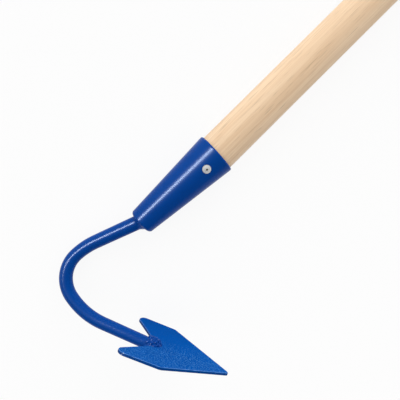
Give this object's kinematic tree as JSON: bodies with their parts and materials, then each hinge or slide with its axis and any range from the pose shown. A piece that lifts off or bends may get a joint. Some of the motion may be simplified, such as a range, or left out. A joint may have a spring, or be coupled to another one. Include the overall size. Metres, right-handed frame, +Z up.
{
  "type": "single-tine cultivator",
  "caption": "Garden cultivator with an arrow-shaped blade on a bent round neck, welded into a conical socket on a straight wooden handle.",
  "frame": {"origin": "middle of the tool's box on the floor, where the tool lies on its side at rest: the socket's rim and one ear of the blade touch the floor", "axes": "+X along the handle towards its free end, +Z up from the floor, and the blade lies towards -Y"},
  "size_m": [1.3558, 0.1348, 0.0783],
  "materials": {
    "wood": "satin",
    "enamel": "gloss",
    "zinc": "bright zinc"
  },
  "bodies": {
    "root": {"handle": "wood", "socket": "enamel", "neck": "enamel", "blade": "enamel", "socket_weld": "enamel", "blade_weld": "enamel", "handle_screw": "zinc"}
  },
  "joints": []
}
